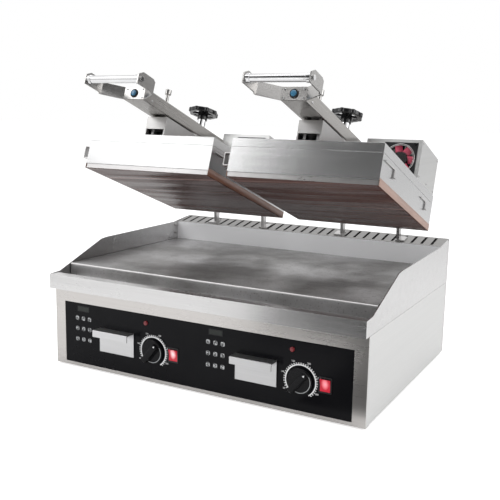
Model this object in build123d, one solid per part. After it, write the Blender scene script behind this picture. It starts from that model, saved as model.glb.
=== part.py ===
from build123d import *
import os
from math import asin, cos, degrees, hypot, radians, sin

os.makedirs("parts", exist_ok=True)

# Casing: width, front and rear faces, and the heights of its bands
half_width = 400
front_y = -285
rear_y = 305
feet_height = 4
rail_top = 12
panel_top = 161.5
band_top = 193
sheet = 2
column_width = 29
seam = 0.5
rear_strip = 12

# Deck: the overhanging skirt, the grease trough and the cooking plate
skirt_front = -305
deck_top = 228
ledge_back = -280
trough_top = 216
plate_front = -235
plate_back = 239
plate_top = 244
plate_thickness = 10
plate_gap = 4
plate_half_width = half_width - plate_gap
plate_rim = 5
splash_top = 295
rear_top = 307
splash_outline = [(-270, 230), (-113, 288), (-92, 290), (219, 295)]

# Rear vent deck slots
slot_pitch = 26
slot_length = 52
slot_width = 7
slot_inset = 15
slot_first = slot_inset - half_width
slot_count = int(2 * (half_width - slot_inset) / slot_pitch) + 1

# Feet and the heating rods under the plate
foot_inset = (50, 45)
foot_radius = 18
foot_bolt = 3
heater_front = -200
heater_rear = 200
heater_bend = 18

# Controls, measured from the casing's left side; the right set is the same one pitch over
set_margin = 32
set_pitch = half_width - set_margin
key_columns = [inward - half_width for inward in (67, 85.5, 104)]
key_rows = (124.5, 99, 73)
key_size = 11
display_at = (86 - half_width, 148)
display_size = (36, 14)
overlay = 0.6
drawer_width = 99
drawer_left = 136 - half_width
drawer_right = drawer_left + drawer_width
drawer_low = 53.5
drawer_high = 111
drawer_depth = 350
drawer_travel = 300
drawer_floor = drawer_low + 2.5
rail_front = -270
rail_rear = 90
rail_inside = 1
rail_shelf = 10
weld_gap = 0.05
hood_reach = 28
hood_lip = 16
lamp_at = (269 - half_width, 141)
lamp_radius = 5.5
knob_at = (289 - half_width, 77)
knob_radius = 28
knob_reach = 20
knob_turn = 40
rocker_at = (344 - half_width, 78)
rocker_size = (22, 28)
frame_size = (28, 34)
rocker_tilt = 7
panel_gap = 0.4
panel_thickness = 3

# Lids: two equal lids side by side, tilted while open
lid_spacing = 199
lid_half = 175
lid_depth = 413
lid_height = 89
lid_tilt = 19.6
lid_front_y = -200
lid_front_z = 477
sheet_thickness = 1
sheet_strip = 12
press_bottom = 1.4
press_top = 12.4
housing_top = 69
cover_gap = 0.8

# Arm over each lid, its hinge at the rear and the levelling pivot at the front
arm_half = 28
arm_low = 141.5
arm_high = 171
arm_front = -86.5
arm_back = 470
arm_wall = 2.5
hinge_y = 265
hinge_z = 434
shaft_radius = 10
tower_offset = 78
tower_thickness = 8
tower_depth = 14
tower_foot = 30
tower_eye = 18
pivot_a = 30
pivot_h = 124
pivot_radius = 5
running_gap = 0.05
clear_gap = 0.3

# Handle
grip_a = -166
grip_h = 158
grip_radius = 8.5
ear_offset = 70
ear_front = -177
ear_low = 145
ear_high = 175
fold_a = -118
bracket_sheet = 3

# Button, pull pin, handwheel and fan
button_radius = 6.6
button_h = 156.5
pin_a = 34.5
pin_radius = 4
pin_head_h = 201
wheel_a = 200
wheel_radius = 39
wheel_h = 218
wheel_hub = 20
wheel_socket = 6
spindle_radius = 8
fan_x = 125
fan_h = 133
fan_half = 40
fan_hole = 36.5
box_left = 40
box_front = 255
box_back = 406
box_top = 181

tilt = radians(lid_tilt)

# Hinge in lid coordinates, and how far the arm turns until the lid lies flat on the plate
hinge_a = (hinge_y - lid_front_y) * cos(tilt) - (hinge_z - lid_front_z) * sin(tilt)
hinge_h = (hinge_y - lid_front_y) * sin(tilt) + (hinge_z - lid_front_z) * cos(tilt)
pivot_y = lid_front_y + pivot_a * cos(tilt) + pivot_h * sin(tilt)
pivot_z = lid_front_z - pivot_a * sin(tilt) + pivot_h * cos(tilt)
pivot_reach = hypot(pivot_y - hinge_y, pivot_z - hinge_z)
closed_clearance = 0.5
closed_drop = hinge_z - (plate_top + closed_clearance + pivot_h)
close_turn = degrees(asin((pivot_z - hinge_z) / pivot_reach) + asin(closed_drop / pivot_reach))
level_ratio = (lid_tilt - close_turn) / close_turn
print("arm hinge at y", hinge_y, "z", hinge_z, "closes through", round(close_turn, 3))
print("levelling pivot at y", round(pivot_y, 3), "z", round(pivot_z, 3), "ratio", round(level_ratio, 5))


def block(x0, x1, y0, y1, z0, z1):
    """A box between two corners."""
    return Pos(x0, y0, z0) * Box(x1 - x0, y1 - y0, z1 - z0, align=(Align.MIN, Align.MIN, Align.MIN))


def rod_x(x0, x1, y, z, radius):
    """A cylinder along X."""
    return Pos((x0 + x1) / 2, y, z) * Rot(0, 90, 0) * Cylinder(radius, x1 - x0)


def rod_y(y0, y1, x, z, radius):
    """A cylinder along Y."""
    return Pos(x, (y0 + y1) / 2, z) * Rot(90, 0, 0) * Cylinder(radius, y1 - y0)


def rod_z(z0, z1, x, y, radius):
    """A cylinder along Z."""
    return Pos(x, y, (z0 + z1) / 2) * Cylinder(radius, z1 - z0)


def side_plate(points, x0, x1):
    """A flat plate whose outline is given as (y, z) points."""
    face = Plane.YZ * make_face(Polyline(*points, close=True))
    return Pos(x0, 0, 0) * extrude(face, amount=x1 - x0)


def top_plate(points, z0, z1):
    """A flat plate whose outline is given as (x, y) points."""
    face = make_face(Polyline(*points, close=True))
    return Pos(0, 0, z0) * extrude(face, amount=z1 - z0)


def round_edges(shape, axis, radius):
    """Rounds the edges of a block that run along one axis."""
    return fillet(shape.edges().filter_by(axis), radius)


def save(name, shape):
    """Writes one node as a STEP file."""
    shape.label = name
    export_step(shape, f"parts/{name}.step")


def on_lid(side, shape):
    """Moves a piece drawn in lid coordinates (x, back along the lid, up from it) onto one lid."""
    return Pos(side * lid_spacing, lid_front_y, lid_front_z) * Rot(-lid_tilt, 0, 0) * shape


inner = half_width - sheet
sets = (("left", 0), ("right", set_pitch))
lids = (("left", -1), ("right", 1))

# Four feet
foot_places = [(x, y) for x in (foot_inset[0] - half_width, half_width - foot_inset[0])
               for y in (front_y + foot_inset[1], rear_y - foot_inset[1])]
feet = Part()
for x, y in foot_places:
    feet += rod_z(0, feet_height + sheet, x, y, foot_radius)
save("feet", feet)

# Floor tray with a turned-up front edge, and for each drawer two guide walls with slide rails
floor_low = feet_height + sheet
tray = block(-inner, inner, front_y + sheet, rear_y - sheet, floor_low, floor_low + sheet)
tray += block(-inner, inner, front_y + sheet, front_y + 2 * sheet, floor_low, rail_top)
shelf_top = drawer_floor - clear_gap
for name, dx in sets:
    for edge, way in ((drawer_left, -1), (drawer_right, 1)):
        wall = edge + dx + way * rail_inside
        x0, x1 = sorted((wall, wall + way * sheet))
        tray += block(x0, x1, rail_front, rail_rear, floor_low + sheet + weld_gap, drawer_high - 4)
        x0, x1 = sorted((wall - way * weld_gap, wall - way * rail_shelf))
        tray += block(x0, x1, rail_front, rail_rear, shelf_top - sheet, shelf_top)
for x, y in foot_places:
    tray -= rod_z(floor_low, floor_low + sheet, x, y, foot_bolt)
save("base_tray", tray)

# Front frame: bottom rail, corner columns and the steel band, folded from one sheet
cut_half = half_width - column_width
frame = block(-half_width, half_width, front_y, front_y + sheet, feet_height, band_top - seam)
frame -= block(-cut_half, cut_half, front_y, front_y + sheet, rail_top, panel_top)
frame += block(-half_width, half_width, front_y + sheet, front_y + 20, feet_height, floor_low)
for x0, x1 in ((-cut_half - 6, -cut_half - 6 + sheet), (cut_half + 6 - sheet, cut_half + 6)):
    frame += block(x0, x1, front_y + sheet, front_y + 16, rail_top, panel_top)
save("front_frame", frame)

# Lower side panels, left and right
sides = Part()
for x0, x1 in ((-half_width, -inner), (inner, half_width)):
    sides += block(x0, x1, front_y + sheet, rear_y - rear_strip - seam, feet_height + sheet, band_top - seam)
save("side_panels", sides)

# Control panel of black plate, cut for drawers, shafts, rockers and lamps
panel = block(-cut_half + panel_gap, cut_half - panel_gap, front_y + panel_gap,
              front_y + panel_gap + panel_thickness, rail_top + panel_gap, panel_top - panel_gap)
panel_face = front_y + panel_gap
panel_back = panel_face + panel_thickness
bush_radius = 7
for name, dx in sets:
    panel -= block(drawer_left + dx + 1.5, drawer_right + dx - 1.5, panel_face, panel_back,
                   drawer_low + 1.5, drawer_high - 1.5)
    panel -= rod_y(panel_face, panel_back, knob_at[0] + dx, knob_at[1], bush_radius)
    panel -= rod_y(panel_face, panel_back, lamp_at[0] + dx, lamp_at[1], lamp_radius - 1)
    half_x = frame_size[0] / 2 - 1
    half_z = frame_size[1] / 2 - 1
    panel -= block(rocker_at[0] + dx - half_x, rocker_at[0] + dx + half_x, panel_face, panel_back,
                   rocker_at[1] - half_z, rocker_at[1] + half_z)
save("control_panel", panel)

# Timer faces: touch keys and a display window for each set
timer = Part()
for name, dx in sets:
    for x in key_columns:
        for z in key_rows:
            key = block(x + dx - key_size / 2, x + dx + key_size / 2, panel_face - overlay, panel_face,
                        z - key_size / 2, z + key_size / 2)
            timer += round_edges(key, Axis.Y, 1.5)
    x, z = display_at
    timer += block(x + dx - display_size[0] / 2, x + dx + display_size[0] / 2, panel_face - overlay,
                   panel_face, z - display_size[1] / 2, z + display_size[1] / 2)
save("timer_faces", timer)

# Pilot lamps: a domed lens on a stem through the panel
lamps = Part()
for name, dx in sets:
    x, z = lamp_at[0] + dx, lamp_at[1]
    lens = rod_y(panel_face - 4, panel_face, x, z, lamp_radius)
    lens = fillet(lens.edges().sort_by(Axis.Y)[0], 2.5)
    lamps += lens + rod_y(panel_face, panel_back + 14, x, z, lamp_radius - 1)
save("pilot_lamps", lamps)

# Thermostats behind the panel, each with the bush its knob shaft turns in
shaft_knob = 3
stats = Part()
for name, dx in sets:
    x, z = knob_at[0] + dx, knob_at[1]
    stat = block(x - 22, x + 22, panel_back, panel_back + 32, z - 20, z + 20)
    stat += rod_y(panel_face, panel_back, x, z, bush_radius)
    stats += stat - rod_y(panel_face, panel_back + 16, x, z, shaft_knob + running_gap)
save("thermostats", stats)

# Switch housings: a raised frame and a box behind the panel
housings = Part()
face_rise = 2
pivot_rocker_y = panel_face + 2
rocker_radius = rocker_size[1] / 2
for name, dx in sets:
    x, z = rocker_at[0] + dx, rocker_at[1]
    half_x = frame_size[0] / 2
    half_z = frame_size[1] / 2
    rim = block(x - half_x, x + half_x, panel_face - face_rise, panel_face, z - half_z, z + half_z)
    rim = round_edges(rim, Axis.Y, 2)
    rim += block(x - half_x + 1, x + half_x - 1, panel_face, panel_back + 26, z - half_z + 1, z + half_z - 1)
    hollow_x = rocker_size[0] / 2 + clear_gap
    hollow_z = rocker_radius + clear_gap
    rim -= block(x - hollow_x, x + hollow_x, panel_face - face_rise, panel_back + 20,
                 z - hollow_z, z + hollow_z)
    housings += rim
save("switch_housings", housings)

# Rockers, knobs and drawers: one of each per set
for name, dx in sets:
    x, z = rocker_at[0] + dx, rocker_at[1]
    r = rocker_radius
    shape = [(5, -r * 0.55), (5, r * 0.55), (-5.5, r), (-3.5, 0), (-5.5, -r)]
    rocker = side_plate(shape, -rocker_size[0] / 2, rocker_size[0] / 2)
    rocker = rocker & rod_x(-rocker_size[0] / 2, rocker_size[0] / 2, 0, 0, r)
    save(f"rocker_{name}", Pos(x, pivot_rocker_y, z) * Rot(rocker_tilt, 0, 0) * rocker)

    x, z = knob_at[0] + dx, knob_at[1]
    base_back = panel_face - 0.6
    skirt = rod_y(base_back - 6, base_back, 0, 0, knob_radius)
    skirt = chamfer(skirt.edges().sort_by(Axis.Y)[0], 1.2)
    grip = block(-7, 7, base_back - knob_reach, base_back - 5, -knob_radius + 1, knob_radius - 1)
    grip = grip & rod_y(base_back - knob_reach, base_back - 5, 0, 0, knob_radius - 1)
    grip = fillet(grip.faces().sort_by(Axis.Y)[0].edges(), 2.5)
    knob = skirt + grip + rod_y(base_back, panel_back + 14, 0, 0, shaft_knob)
    save(f"knob_{name}", Pos(x, 0, z) * Rot(0, knob_turn, 0) * knob)

    left, right = drawer_left + dx, drawer_right + dx
    face_y = front_y - clear_gap
    front = block(left, right, face_y - sheet, face_y, drawer_low, drawer_high)
    tray_wall = 1.5
    x0, x1 = left + 3, right - 3
    z0, z1 = drawer_floor, drawer_high - 5
    box = block(x0, x1, face_y, face_y + drawer_depth, z0, z1)
    box -= block(x0 + tray_wall, x1 - tray_wall, face_y, face_y + drawer_depth - tray_wall,
                 z0 + tray_wall, z1)
    hood_z = drawer_high - sheet
    reach = face_y - sheet - hood_reach + 2
    hood = block(left, right, reach, face_y - sheet, hood_z, drawer_high)
    hood += block(left, right, reach, reach + sheet, drawer_high - hood_lip, drawer_high)
    hood = fillet(hood.edges().filter_by(Axis.X).sort_by(Axis.Y)[0:2].sort_by(Axis.Z)[-1], 1.5)
    save(f"drawer_{name}", front + box + hood)

# Top deck: skirt, ledge, trough and sides folded from one sheet
deck = block(-half_width, half_width, skirt_front, skirt_front + sheet, band_top, deck_top)
deck += block(-half_width, half_width, skirt_front, front_y + sheet, band_top, band_top + sheet)
deck += block(-half_width, half_width, skirt_front, ledge_back, deck_top - sheet, deck_top)
deck += block(-inner, inner, ledge_back - sheet, ledge_back, trough_top - sheet, deck_top)
deck += block(-inner, inner, ledge_back - sheet, plate_back, trough_top - sheet, trough_top)
deck_rear = rear_y - rear_strip - seam
rear_edge_z = splash_outline[-1][1] + (rear_top - splash_outline[-1][1]) * (
    deck_rear - splash_outline[-1][0]) / (rear_y - splash_outline[-1][0])
outline = [(skirt_front, band_top), (skirt_front, deck_top), *splash_outline,
           (deck_rear, rear_edge_z), (deck_rear, band_top)]
for x0, x1 in ((-half_width, -inner), (inner, half_width)):
    deck += side_plate(outline, x0, x1)
for name, dx in sets:
    for step in (-1, 1):
        hole_x = (drawer_left + drawer_right) / 2 + dx + step * 12
        deck -= rod_z(trough_top - sheet, trough_top, hole_x, (ledge_back + plate_front) / 2, 7)
save("top_deck", deck)

# Cooking plate: a ground steel plate with its front edge turned down into the trough
griddle = block(-plate_half_width, plate_half_width, plate_front, plate_back,
                plate_top - plate_thickness, plate_top)
griddle += block(-plate_half_width, plate_half_width, plate_front, plate_front + plate_rim, trough_top, plate_top)
griddle = chamfer(griddle.edges().filter_by(Axis.X).group_by(Axis.Z)[-1].sort_by(Axis.Y)[0], 1.5)
for x0, x1 in ((-plate_half_width, plate_rim - plate_half_width), (plate_half_width - plate_rim, plate_half_width)):
    griddle += block(x0, x1, plate_front, plate_back, trough_top, plate_top - plate_thickness)
save("griddle_plate", griddle)

# Heating rods under the cooking plate, two hairpins per half
def hairpin(x0, x1, y0, y1, z, radius):
    """One U-shaped heating rod lying flat, its ends towards the rear."""
    half = (x1 - x0) / 2
    path = Polyline((x0, y1, z), (x0, y0 + half, z))
    bend = ThreePointArc((x0, y0 + half, z), (x0 + half, y0, z), (x1, y0 + half, z))
    back = Polyline((x1, y0 + half, z), (x1, y1, z))
    start = Plane(origin=(x0, y1, z), z_dir=(0, -1, 0))
    return sweep(start * Circle(radius), path=Wire([*path.edges(), *bend.edges(), *back.edges()]))


rod_radius = 4
rods = Part()
rod_z_level = plate_top - plate_thickness - rod_radius
for side in (-1, 1):
    for offset in (-120, -40, 40, 120):
        x = side * lid_spacing + offset
        rods += hairpin(x - heater_bend, x + heater_bend, heater_front, heater_rear, rod_z_level, rod_radius)
save("lower_elements", rods)

# Rear splash and sloping vent deck
rise = (rear_top - splash_top) / (rear_y - plate_back - 1)
vent = block(-inner, inner, plate_back, plate_back + sheet, trough_top - sheet, splash_top)
slope_rear = rear_y - sheet
top_profile = [(plate_back, splash_top - sheet), (plate_back, splash_top), (slope_rear, rear_top),
               (slope_rear, rear_top - sheet)]
vent += side_plate(top_profile, -inner, inner)
slot_y = (plate_back + slope_rear) / 2 + 1
for n in range(slot_count):
    x = slot_first + n * slot_pitch
    cutter = block(x - slot_width / 2, x + slot_width / 2, slot_y - slot_length / 2,
                   slot_y + slot_length / 2, splash_top - 10, rear_top + 10)
    vent -= round_edges(cutter, Axis.Z, slot_width / 2 - 0.1)
save("vent_cover", vent)

# Rear panel with its side strips, and louvres low down
rear = block(-half_width, half_width, rear_y - sheet, rear_y, feet_height + sheet, rear_top - sheet)
for x0, x1 in ((-half_width, -inner), (inner, half_width)):
    rear += block(x0, x1, rear_y - rear_strip, rear_y, feet_height + sheet, rear_top - 2 * sheet)
for n in range(12):
    for z in (60, 80, 100):
        x = -275 + n * 50
        rear -= block(x - 16, x + 16, rear_y - sheet, rear_y, z - 2.5, z + 2.5)
gland_x = 340
gland_z = 150
gland_thread = 10
rear -= rod_y(rear_y - sheet, rear_y, gland_x, gland_z, gland_thread)
save("rear_panel", rear)

# Mains gland on the rear panel, where the supply cord enters
front_reach = -(lid_front_y + ear_front * cos(tilt) + ear_low * sin(tilt))
gland = Pos(gland_x, (rear_y + front_reach) / 2, gland_z) * Rot(90, 0, 0) * extrude(
    RegularPolygon(15, 6), amount=(front_reach - rear_y) / 2, both=True)
gland += rod_y(rear_y - sheet - 12, rear_y, gland_x, gland_z, gland_thread)
gland -= rod_y(rear_y - sheet - 12, front_reach, gland_x, gland_z, 6)
save("mains_gland", gland)

# Hinge towers on the vent deck, one shaft per lid and a spring can on each shaft half
towers = Part()
shafts = Part()
cans = Part()
tower_front = hinge_y - tower_depth / 2
tower_rear = hinge_y + tower_depth / 2
tower_toe = hinge_y - tower_foot / 2
tower_heel = hinge_y + tower_foot / 2


def deck_height(y):
    """Height of the vent deck's top face at one depth."""
    return splash_top + (y - plate_back) * (rear_top - splash_top) / (slope_rear - plate_back)


for name, side in lids:
    centre = side * lid_spacing
    for way in (-1, 1):
        x0 = centre + way * tower_offset - tower_thickness / 2
        x1 = x0 + tower_thickness
        leg = side_plate([(tower_front, deck_height(tower_front)), (tower_rear, deck_height(tower_rear)),
                          (hinge_y + tower_eye, hinge_z), (hinge_y - tower_eye, hinge_z)], x0, x1)
        leg += rod_x(x0, x1, hinge_y, hinge_z, tower_eye)
        foot_x0 = min(x0, x0 + way * 16)
        foot_x1 = max(x1, x1 + way * 16)
        leg += side_plate([(tower_toe, deck_height(tower_toe)), (tower_heel, deck_height(tower_heel)),
                           (tower_heel, deck_height(tower_heel) + 3),
                           (tower_toe, deck_height(tower_toe) + 3)], foot_x0, foot_x1)
        towers += leg - rod_x(x0, x1, hinge_y, hinge_z, shaft_radius)
        can_x0, can_x1 = sorted((centre + way * (arm_half + 6), centre + way * (tower_offset - 4)))
        can = rod_x(can_x0, can_x1, hinge_y, hinge_z, 16)
        can = chamfer(can.edges().filter_by(GeomType.CIRCLE), 1.5)
        cans += can - rod_x(can_x0, can_x1, hinge_y, hinge_z, shaft_radius)
    shaft = rod_x(centre - tower_offset - 10, centre + tower_offset + 10, hinge_y, hinge_z, shaft_radius)
    shafts += chamfer(shaft.edges().filter_by(GeomType.CIRCLE), 1)
save("hinge_towers", towers)
save("hinge_shafts", shafts)
save("return_springs", cans)

# The pieces of each lid, drawn once in lid coordinates
wall = 2

# Press plate, and the release sheet wrapped under it with a strip up each side
press = block(-lid_half + 1.5, lid_half - 1.5, 2, lid_depth - 2, press_bottom, press_top)
film = block(-lid_half, lid_half, 0, lid_depth, 0, sheet_thickness)
film += block(-lid_half, -lid_half + sheet_thickness, 0, lid_depth, 0, sheet_strip)
film += block(lid_half - sheet_thickness, lid_half, 0, lid_depth, 0, sheet_strip)

# Upper heating rods lying on the press plate
upper = Part()
for x in (-120, -40, 40, 120):
    upper += hairpin(x - 18, x + 18, 40, 370, press_top + rod_radius, rod_radius)

# Housing: outer walls, a foot flange on the press plate and an inner sleeve that carries the cover
housing = block(-lid_half, lid_half, 0, lid_depth, press_top, housing_top)
housing -= block(-lid_half + wall, lid_half - wall, wall, lid_depth - wall, press_top, housing_top)
flange = block(-lid_half, lid_half, 0, lid_depth, press_top, press_top + wall)
housing += flange - block(-lid_half + 12, lid_half - 12, 12, lid_depth - 12, press_top, press_top + wall)
sleeve = block(-lid_half + wall, lid_half - wall, wall, lid_depth - wall, housing_top - 10, lid_height - wall)
sleeve -= block(-lid_half + 2 * wall, lid_half - 2 * wall, 2 * wall, lid_depth - 2 * wall,
                housing_top - 10, lid_height - wall)
housing += sleeve

# Cover: a shallow lid over the housing with a thin open seam below its flange
cover = block(-lid_half, lid_half, 0, lid_depth, housing_top + cover_gap, lid_height)
cover -= block(-lid_half + wall, lid_half - wall, wall, lid_depth - wall,
               housing_top + cover_gap, lid_height - wall)

# Carrier: a channel on the cover that holds the levelling pivot pin
carrier_front = 12
carrier_back = 150
carrier_top = 137.5
carrier_floor = 108
carrier = Part()
for x0, x1 in ((-arm_half, -arm_half + 3), (arm_half - 3, arm_half)):
    carrier += block(x0, x1, carrier_front, carrier_back, lid_height, carrier_top)
carrier += block(-arm_half, arm_half, carrier_front, carrier_front + 3, carrier_floor, carrier_top)
carrier += block(-arm_half, arm_half, carrier_back - 3, carrier_back, lid_height, carrier_top)
carrier += block(-arm_half, arm_half, carrier_front, carrier_back, carrier_floor, carrier_floor + 3)
for x in (-16, 16):
    for y in (28, 60):
        carrier += rod_z(lid_height, carrier_floor, x, y, 4)
carrier += rod_x(-arm_half, arm_half, pivot_a, pivot_h, pivot_radius)

# Arm: a square tube with a hub at the rear and two lugs at the pivot
arm = block(-arm_half, arm_half, arm_front, arm_back, arm_low, arm_high)
arm = fillet(arm.edges().filter_by(Axis.Y), 2)
arm -= block(-arm_half + arm_wall, arm_half - arm_wall, arm_front + arm_wall, arm_back - arm_wall,
             arm_low + arm_wall, arm_high - arm_wall)
hub_radius = 22
hub = rod_x(-arm_half, arm_half, hinge_a, hinge_h, hub_radius)
cheek = side_plate([(hinge_a - hub_radius, hinge_h), (hinge_a + hub_radius, hinge_h),
                    (arm_back, arm_low + 1), (hinge_a - hub_radius - 14, arm_low + 1)], -arm_half, arm_half)
arm += hub + cheek
arm -= rod_x(-arm_half, arm_half, hinge_a, hinge_h, shaft_radius + running_gap)
for x0, x1 in ((-20, -14), (14, 20)):
    lug = block(x0, x1, pivot_a - 10, pivot_a + 10, pivot_h, arm_low + 1)
    lug += rod_x(x0, x1, pivot_a, pivot_h, 10)
    arm += lug - rod_x(x0, x1, pivot_a, pivot_h, pivot_radius + running_gap)
arm -= rod_y(arm_front, arm_front + arm_wall, 0, button_h, button_radius + clear_gap)
arm -= rod_z(arm_high - arm_wall, arm_high, 0, pin_a, pin_radius + clear_gap)
arm -= rod_z(arm_low, arm_high, 0, wheel_a, spindle_radius + running_gap)

# Handle bracket: a plate on the arm's front face that flares out to two ears
half_fold = [(arm_half, arm_front), (ear_offset + bracket_sheet, fold_a + 1),
             (ear_offset + bracket_sheet, fold_a - 8), (ear_offset, fold_a - 8), (ear_offset, fold_a - 1),
             (arm_half, arm_front - bracket_sheet)]
bracket = block(-arm_half, arm_half, arm_front - bracket_sheet, arm_front, arm_low + 1, arm_high)
for way in (-1, 1):
    points = [(way * x, a) for x, a in half_fold]
    bracket += top_plate(points, arm_low + 1, arm_high)
    ear = side_plate([(fold_a, arm_low + 1), (fold_a, arm_high), (fold_a - 7, ear_high),
                      (ear_front + 15, ear_high), (ear_front, ear_high - 9), (ear_front, ear_low),
                      (fold_a - 10, ear_low)], 0, bracket_sheet)
    bracket += Pos(ear_offset if way > 0 else -ear_offset - bracket_sheet, 0, 0) * ear
bracket -= rod_y(arm_front - bracket_sheet, arm_front, 0, button_h, button_radius + clear_gap)

# Handle grip: a tube with collars and a screw head outside each ear
grip = rod_x(-ear_offset, ear_offset, grip_a, grip_h, grip_radius)
for way in (-1, 1):
    x0, x1 = sorted((way * ear_offset, way * (ear_offset - 10)))
    collar = rod_x(x0, x1, grip_a, grip_h, grip_radius + 1.5)
    grip += chamfer(collar.edges().filter_by(GeomType.CIRCLE), 0.8)
    x0, x1 = sorted((way * (ear_offset + bracket_sheet), way * (ear_offset + bracket_sheet + 3)))
    grip += rod_x(x0, x1, grip_a, grip_h, 5.5)
    x0, x1 = sorted((way * ear_offset, way * (ear_offset + bracket_sheet)))
    grip += rod_x(x0, x1, grip_a, grip_h, 3)
    bracket -= rod_x(x0, x1, grip_a, grip_h, 3)

# Start button in the arm's front face
button_front = arm_front - bracket_sheet - 6
button = rod_y(button_front, arm_front + 8, 0, button_h, button_radius)
button = fillet(button.edges().sort_by(Axis.Y)[0], 3)
button += rod_y(arm_front + arm_wall + 5, arm_front + arm_wall + 8, 0, button_h, button_radius + 2)

# Pull pin with a knurled head
pin = rod_z(arm_low + 8, pin_head_h + 2, 0, pin_a, pin_radius)
head = rod_z(pin_head_h, pin_head_h + 13, 0, pin_a, 7.5)
pin += fillet(head.edges().filter_by(GeomType.CIRCLE), 1.5)
pin += rod_z(arm_low + 8, arm_low + 12, 0, pin_a, pin_radius + 3)

# Handwheel: lobed rim, spokes and hub on a plain spindle
wheel_low = wheel_h - wheel_hub
spindle = rod_z(arm_low - 14, wheel_low + wheel_socket, 0, wheel_a, spindle_radius)
spindle += rod_z(arm_high + clear_gap, wheel_low, 0, wheel_a, spindle_radius + 2.5)
rim_middle = wheel_radius - 6
rim_thickness = 11
outline = Circle(rim_middle + 3)
lobes = 8
for n in range(lobes):
    outline += PolarLocations(rim_middle, 1, start_angle=n * 360 / lobes).locations[0] * Circle(6)
rim = Pos(0, wheel_a, wheel_h - rim_thickness / 2) * extrude(outline, amount=rim_thickness)
rim = fillet(rim.edges().group_by(Axis.Z)[-1] + rim.edges().group_by(Axis.Z)[0], 2)
rim -= rod_z(wheel_h - rim_thickness / 2, wheel_h + rim_thickness / 2, 0, wheel_a, rim_middle - 6)
wheel = rim + rod_z(wheel_low, wheel_h + 1, 0, wheel_a, 13)
for n in range(4):
    spoke = Pos(0, wheel_a, wheel_h - 3) * Rot(0, 0, n * 90 + 22.5) * block(0, rim_middle - 3, -4, 4, -2.5, 2.5)
    wheel += spoke
wheel -= rod_z(wheel_low, wheel_low + wheel_socket, 0, wheel_a, spindle_radius)
wheel -= rod_z(wheel_h - 2, wheel_h + 1, 0, wheel_a, 8)

# Fan box on the cover, the fan frame in its front face and the rotor
fan_box = block(box_left, lid_half, box_front, box_back, lid_height, box_top)
fan_box -= block(box_left + wall, lid_half - wall, box_front + wall, box_back - wall, lid_height,
                 box_top - wall)
opening = block(fan_x - fan_half, fan_x + fan_half, box_front, box_front + wall, fan_h - fan_half,
                fan_h + fan_half)
fan_box -= opening
for n in range(7):
    x = box_left + 22 + n * 15
    fan_box -= block(x - 3, x + 3, box_back - wall, box_back, lid_height + 25, box_top - 25)
fan_frame = block(fan_x - fan_half, fan_x + fan_half, box_front - 1.5, box_front + 20, fan_h - fan_half,
                  fan_h + fan_half)
fan_frame -= rod_y(box_front - 1.5, box_front + 20, fan_x, fan_h, fan_hole)
fan_frame += rod_y(box_front + 12, box_front + 20, fan_x, fan_h, 17)
for n in range(3):
    strut = Pos(fan_x, 0, fan_h) * Rot(0, n * 120 + 30, 0) * block(0, fan_hole + 1, box_front + 16,
                                                                  box_front + 20, -3, 3)
    fan_frame += strut
fan_frame -= rod_y(box_front + 12, box_front + 18, fan_x, fan_h, 3 + running_gap)
for dx in (-1, 1):
    for dz in (-1, 1):
        x = fan_x + dx * (fan_half - 5)
        z = fan_h + dz * (fan_half - 5)
        fan_frame -= rod_y(box_front - 1.5, box_front + 3, x, z, 2.4)
rotor = rod_y(box_front, box_front + 11, fan_x, fan_h, 17)
rotor += rod_y(box_front + 11, box_front + 17, fan_x, fan_h, 3)
blade_turn = 35
for n in range(7):
    blade = Pos(16, 0, 0) * Rot(blade_turn, 0, 0) * block(0, 19.5, -0.8, 0.8, -11, 11)
    blade = blade & rod_y(-4.5, 4.5, 0, 0, fan_hole - 1)
    rotor += Pos(fan_x, box_front + 5.5, fan_h) * Rot(0, n * 360 / 7, 0) * blade

# Sheet clamps: a U-shaped bail on the left side and two hooks on the right side
clamp_gap = 0.5
bail_x = -lid_half - clamp_gap - 1.5
bail_out = 15
bail_low = 26
bail_high = 56
clamp_left = block(bail_x - bail_out + 1.5, bail_x, 3, 19, bail_high - 2, bail_high)
clamp_left += block(bail_x - bail_out + 1.5, bail_x - bail_out + 3.5, 3, 19, bail_low, bail_high)
clamp_left += block(bail_x - bail_out + 1.5, bail_x + 1.5, 3, 19, bail_low, bail_low + 2)
clamp_left += rod_y(3, 19, bail_x, bail_high - 1, 1.5)
hook_x = lid_half + clamp_gap + 1.5
hook_z = 57
clamp_right = Part()
for a0, a1 in ((14, 84), (300, 350)):
    arm_bar = rod_y(a0, a1, hook_x, hook_z, 1.5)
    hook = block(hook_x - 1, hook_x + 1, a1 - 8, a1, hook_z - 20, hook_z)
    hook += block(hook_x - 1, hook_x + 4, a1 - 8, a1, hook_z - 20, hook_z - 18)
    clamp_right += arm_bar + hook

pieces = {
    "press_plate": press,
    "release_sheet": film,
    "lid_element": upper,
    "lid_housing": housing,
    "lid_cover": cover,
    "carrier": carrier,
    "arm": arm,
    "handle_bracket": bracket,
    "handle_grip": grip,
    "start_button": button,
    "lock_pin": pin,
    "wheel_spindle": spindle,
    "handwheel": wheel,
    "fan_box": fan_box,
    "fan_frame": fan_frame,
    "fan_rotor": rotor,
    "sheet_clamp_left": clamp_left,
    "sheet_clamp_right": clamp_right,
}
for name, side in lids:
    for node, shape in pieces.items():
        save(f"{node}_{name}", on_lid(side, shape))
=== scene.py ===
# %% [markdown]
# A double contact grill: a steel casing with a cooking plate on top, two heated lids on arms,
# and a black control panel. The CAD solids already give the shapes, so this script adds what
# a metalworker's and a photographer's eye would add: the grain of the steel, printed marks,
# screws, the wrinkled release sheets, and soft light.
# %% Load the CAD frame
import math

import bmesh
import bpy
from mathutils import Matrix, Vector


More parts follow.
